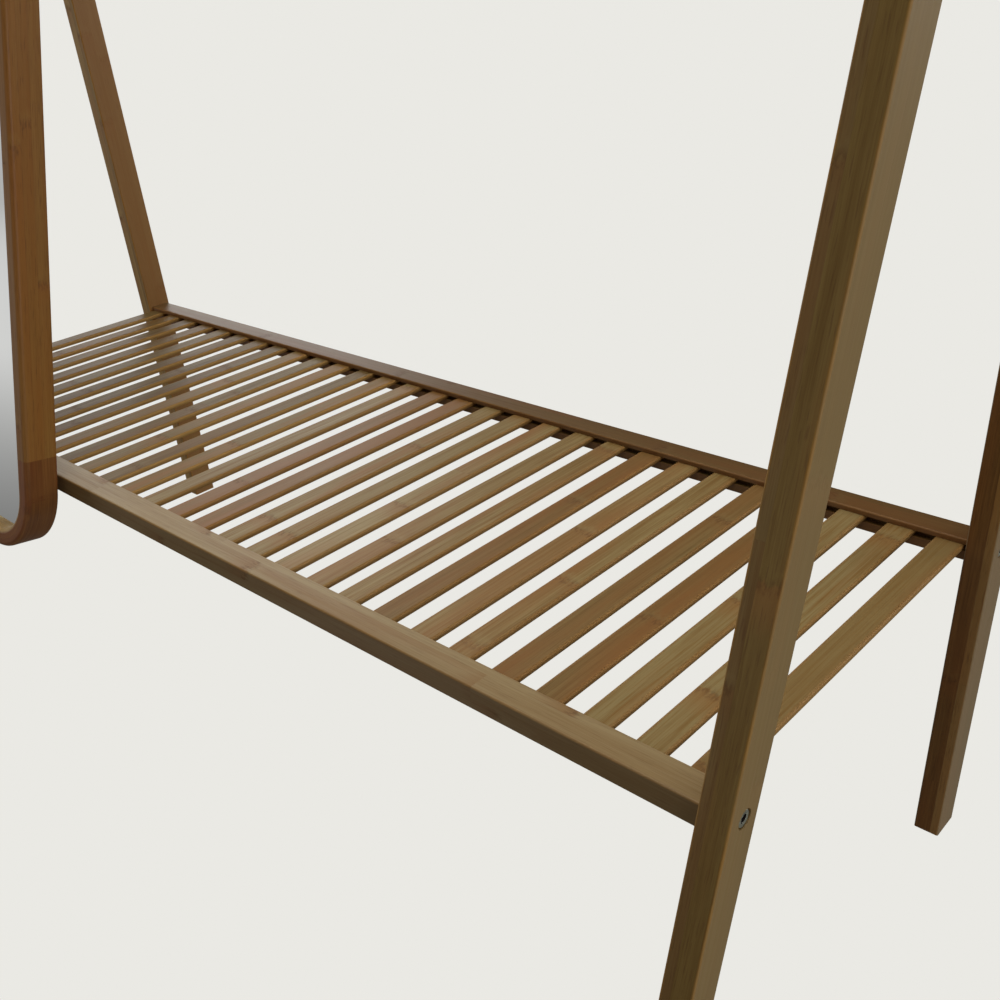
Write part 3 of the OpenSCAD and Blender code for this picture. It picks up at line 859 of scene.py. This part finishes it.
def placeCopies(master, node, body, axes):
    # one copy of the master on each solid of the node, with its top at the solid's end
    for number, points in enumerate(solidsOf(node)):
        axis = axes(points)
        end = placeOn(points, axis)[0]
        piece = master.copy()
        piece.data = master.data.copy()
        piece.name = f"{node}_{number + 1}"
        bpy.context.scene.collection.objects.link(piece)
        piece.rotation_euler = Vector(axis).to_track_quat("Z", "Y").to_euler()
        piece.location = end
        bpy.ops.object.select_all(action="DESELECT")
        piece.select_set(True)
        bpy.context.view_layer.objects.active = piece
        bpy.ops.object.transform_apply(location=True, rotation=True, scale=True)
        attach(piece, body)
        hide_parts(node)
    bpy.data.objects.remove(master, do_unlink=True)


def finishMaster(master, material, socketAcross=0.0, socketDepth=0.0):
    # the master's finish, with the walls of a key socket in shade
    master.data.materials.clear()
    master.data.materials.append(material)
    if socketAcross:
        reach = socketAcross * 0.56           # just past the socket's walls
        skim = 1e-4                           # keeps the head's own face out
        master.data.materials.append(socketShade)
        for face in master.data.polygons:
            if face.center.xy.length < reach and -socketDepth - skim < face.center.z < -skim:
                face.material_index = 1


def outwards(points):
    # the way out of the rack, to the left or to the right
    return (1 if sum(point.x for point in points) > 0 else -1, 0, 0)


intoLeg = Vector((0, upLeg.z, -upLeg.y))      # square to the legs' front plane, backwards

bolts = {
    "shelf_bolts": {"sides": 48, "headHeight": 0.006, "shank": 0.006, "hexAcross": 0.005,
                    "hexDepth": 0.0032, "ease": 0.0005, "easeSteps": 3},
    "apex_bolts": {"sides": 48, "headHeight": 0.0022, "shank": 0.006, "hexAcross": 0.005,
                   "hexDepth": 0.0018, "ease": 0.0006, "easeSteps": 4},
}


def makeBolts():
    # round heads with a key socket: tall at the shelf, low at the apex
    for node, bolt in bolts.items():
        length, radius = placeOn(solidsOf(node)[-1], (1, 0, 0))[1:]
        made = addTurned("bolt", bolt["sides"], radius, bolt["headHeight"])
        stepDown(made, -bolt["headHeight"], radius - bolt["shank"] / 2,
                 length - bolt["headHeight"])
        cornerRadius = bolt["hexAcross"] / 2 / math.cos(math.pi / 6)
        cutter = addTurned("hexCutter", 6, cornerRadius, bolt["hexDepth"] * 2)
        cutter.location.z = bolt["hexDepth"]
        cutWith(made, cutter)
        easeEdges(made, bolt["ease"], bolt["easeSteps"])
        finishMaster(made, zinc, bolt["hexAcross"], bolt["hexDepth"])
        placeCopies(made, node, "rack", outwards)


barrelNut = {"sides": 40, "hole": 0.0061, "holeSides": 32, "slotWide": 0.0012,
             "slotDeep": 0.0013, "ease": 0.0003}


def makeBarrelNuts():
    # the slot at the lower end turns the nut until its hole meets the bolt
    end, length, radius = placeOn(solidsOf("barrel_nuts")[-1], (0, 0, -1))
    nut = addTurned("barrelNut", barrelNut["sides"], radius, length)
    # both cutters are longer than the nut is thick
    hole = addTurned("hole", barrelNut["holeSides"], barrelNut["hole"] / 2, radius * 4)
    hole.rotation_euler = (0, math.pi / 2, 0)
    hole.location = (radius * 2, 0, end.z - middleOf("shelf_bolts").z)
    cutWith(nut, hole)
    bpy.ops.object.select_all(action="DESELECT")
    bpy.ops.mesh.primitive_cube_add(size=1, location=(0, 0, 0))
    slot = startPiece("slot")
    slot.scale = (barrelNut["slotWide"], radius * 3, barrelNut["slotDeep"] * 2)
    cutWith(nut, slot)
    easeEdges(nut, barrelNut["ease"])
    finishMaster(nut, zinc)
    placeCopies(nut, "barrel_nuts", "rack", lambda points: (0, 0, -1))


screw = {"sides": 32, "rim": 0.0002, "shank": 0.003, "tip": 0.003, "tipTaper": 0.15,
         "crossWide": 0.0007, "crossLong": 0.0030, "crossDeep": 0.0011, "crossTurn": 0.4,
         "ease": 0.00012}


def makeScrews():
    # countersunk cross-head screws, one model for both leaves
    for node, body, axis in (("hinge_screws_leg", "rack", -intoLeg),
                             ("hinge_screws_mirror", "mirror", intoLeg)):
        length, radius = placeOn(solidsOf(node)[0], axis)[1:]
        rim = screw["rim"]
        head = radius - screw["shank"] / 2
        made = addTurned("screw", screw["sides"], radius, rim)
        stepDown(made, -rim, inset=0, length=head, taper=screw["shank"] / 2 / radius)
        stepDown(made, -rim - head, inset=0, length=length - rim - head - screw["tip"])
        stepDown(made, screw["tip"] - length, inset=0, length=screw["tip"],
                 taper=screw["tipTaper"])
        for turn in (0, math.pi / 2):
            bpy.ops.object.select_all(action="DESELECT")
            bpy.ops.mesh.primitive_cube_add(size=1, location=(0, 0, 0))
            blade = startPiece("crossCutter")
            blade.scale = (screw["crossLong"], screw["crossWide"], screw["crossDeep"] * 2)
            blade.rotation_euler.z = turn + screw["crossTurn"]
            cutWith(made, blade)
        easeEdges(made, screw["ease"], segments=2)
        finishMaster(made, zinc)
        placeCopies(made, node, body, lambda points: axis)


bumper = {"sides": 40, "rimShare": 0.5, "dish": 0.0006, "ease": 0.0006}


def makeBumpers():
    # a rubber pad with a dished face
    length, radius = placeOn(solidsOf("mirror_bumpers")[0], -intoLeg)[1:]
    made = addTurned("bumper", bumper["sides"], radius, length)
    selectFaces(made, lambda face: face.normal.z > 0.9)
    bpy.ops.mesh.inset(thickness=radius * bumper["rimShare"], depth=0)
    bpy.ops.transform.translate(value=(0, 0, -bumper["dish"]))
    bpy.ops.object.mode_set(mode="OBJECT")
    easeEdges(made, bumper["ease"], segments=4, angle=20)
    finishMaster(made, rubber)
    placeCopies(made, "mirror_bumpers", "rack", lambda points: -intoLeg)


hingeLeaf = {"ease": 0.00025}


def easeLeaves(node, body):
    # the CAD leaves' own shape with its sharp edges broken
    piece = nodes[node].copy()
    piece.data = nodes[node].data.copy()
    piece.name = node + "_eased"
    for key in list(piece.keys()):
        del piece[key]
    bpy.context.scene.collection.objects.link(piece)
    bpy.ops.object.select_all(action="DESELECT")
    piece.select_set(True)
    bpy.context.view_layer.objects.active = piece
    bpy.ops.object.mode_set(mode="EDIT")
    bpy.ops.mesh.select_all(action="SELECT")
    bpy.ops.mesh.remove_doubles(threshold=1e-6)
    bpy.ops.mesh.dissolve_limited(angle_limit=math.radians(1))
    bpy.ops.object.mode_set(mode="OBJECT")
    easeEdges(piece, hingeLeaf["ease"], segments=2)
    piece.data.materials.clear()
    piece.data.materials.append(zinc)
    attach(piece, body)
    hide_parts(node)


makeBolts()
makeBarrelNuts()
makeScrews()
makeBumpers()
easeLeaves("hinge_leaves_leg", "rack")
easeLeaves("hinge_leaves_mirror", "mirror")
print("fittings made")

# stage and light

studio = {
    "pale": (0.823, 0.815, 0.775),            # what the camera sees of the floor and the world
    "floorSize": 60.0,
    "glowColour": (1.0, 0.995, 0.98, 1),
    "bounceColour": (1.0, 0.95, 0.84, 1),     # the light that the floor throws on the rack
    "bounce": 0.17,
    "skyLight": (0.10, 0.10, 0.10, 1),
    # the glow that only reflections see: from, to, and the glow at each
    "floorRise": (0.2, 2.9, 0.1, 0.72),       # with distance from the rack, in metres
    "floorFall": (3.2, 14.0, 0.0, -0.22),
    "floorLeft": (-0.35, -0.75),              # with direction, where -1 is straight left
    "floorFront": (-0.88, -0.97, 0.05, 0.4),  # and here straight in front
    "skyLeft": (-0.4, -0.85, 0.05, 0.5),
    "skyLeftHeight": (0.5, 0.05, 0.3, 1.0),
    "skyFront": (-0.86, -0.96),
    "skyFrontHeight": (0.7, 0.0, 0.30, 0.46),
}


def makeFloor():
    bpy.ops.object.select_all(action="DESELECT")
    bpy.ops.mesh.primitive_plane_add(size=studio["floorSize"], location=(0, 0, 0))
    floor = bpy.context.object
    floor.name = "floor"
    material, g, shader = startMaterial("floor")
    material.node_tree.nodes.remove(shader)
    path = g.add("ShaderNodeLightPath").outputs
    place = g.add("ShaderNodeTexCoord").outputs["Object"]
    x, y = g.parts(place)[:2]
    away = g.add("ShaderNodeVectorMath", {0: place}, operation="LENGTH").outputs["Value"]
    rise = g.ramp(away, *studio["floorRise"])
    fall = g.ramp(away, *studio["floorFall"])
    toLeft = g.ramp(g.math("DIVIDE", x, away), *studio["floorLeft"])
    shine = g.math("MULTIPLY", g.math("ADD", rise, fall), toLeft)
    toFront = g.ramp(g.math("DIVIDE", y, away), *studio["floorFront"])
    shine = g.math("MAXIMUM", shine, toFront)
    glow = g.add("ShaderNodeEmission", {"Color": studio["glowColour"], "Strength": shine})
    bounce = g.add("ShaderNodeEmission", {"Color": studio["bounceColour"],
                                          "Strength": studio["bounce"]})
    seen = g.add("ShaderNodeEmission", {"Color": studio["pale"] + (1,), "Strength": 1.0})
    first = g.add("ShaderNodeMixShader", {0: path["Is Diffuse Ray"], 1: glow.outputs[0],
                                          2: bounce.outputs[0]})
    last = g.add("ShaderNodeMixShader", {0: path["Is Camera Ray"], 1: first.outputs[0],
                                         2: seen.outputs[0]})
    g.put(material.node_tree.nodes["Material Output"].inputs[0], last.outputs[0])
    floor.data.materials.append(material)


def makeWorld():
    world = bpy.data.worlds.new("studio")
    bpy.context.scene.world = world
    world.use_nodes = True
    g = Graph(world.node_tree)
    background = world.node_tree.nodes["Background"]
    path = g.add("ShaderNodeLightPath").outputs
    x, y, z = g.parts(g.add("ShaderNodeTexCoord").outputs["Generated"])
    left = g.math("MULTIPLY", g.ramp(x, *studio["skyLeft"]),
                  g.ramp(z, *studio["skyLeftHeight"]))
    front = g.math("MULTIPLY", g.ramp(y, *studio["skyFront"]),
                   g.ramp(z, *studio["skyFrontHeight"]))
    grey = g.mix(g.math("MAXIMUM", left, front), (0, 0, 0, 1), (1, 1, 1, 1))
    grey = g.mix(path["Is Diffuse Ray"], grey, studio["skyLight"])
    g.put(background.inputs["Color"], g.mix(path["Is Camera Ray"], grey, studio["pale"] + (1,)))


# soft panels: where each one hangs, what it points at, its two sides in metres and its watts
panels = {
    "overhead": {"place": (0.3, -0.2, 3.2), "aim": (0, 0, 0.3), "size": (2.4, 2.4), "power": 44},
    "backLeft": {"place": (-2.7, 1.9, 1.7), "aim": (0, 0, 0.4), "size": (1.8, 1.8), "power": 22},
    "leftFront": {"place": (-1.6, -1.2, 1.0), "aim": (-0.4, 0.1, 0.6), "size": (0.8, 1.2),
                  "power": 7, "glossy": False},
    "backRight": {"place": (2.5, 2.7, 1.5), "aim": (0, 0, 0.6), "size": (1.8, 2.0), "power": 24},
    "rightSide": {"place": (3.0, -0.6, 0.5), "aim": (0.5, 0, 0.3), "size": (1.8, 0.8),
                  "power": 17},
}


def addPanel(name, place, aim, size, power, glossy=True):
    lamp = bpy.data.lights.new(name, "AREA")
    lamp.shape = "RECTANGLE"
    lamp.size, lamp.size_y = size
    lamp.energy = power
    held = bpy.data.objects.new(name, lamp)
    held.location = place
    held.rotation_euler = (Vector(aim) - Vector(place)).to_track_quat("-Z", "Y").to_euler()
    held.visible_glossy = glossy              # False keeps it out of reflections
    bpy.context.scene.collection.objects.link(held)


makeFloor()
makeWorld()
for name, panel in panels.items():
    addPanel(name, **panel)
bpy.context.scene.view_settings.view_transform = "Standard"
print("stage lit")
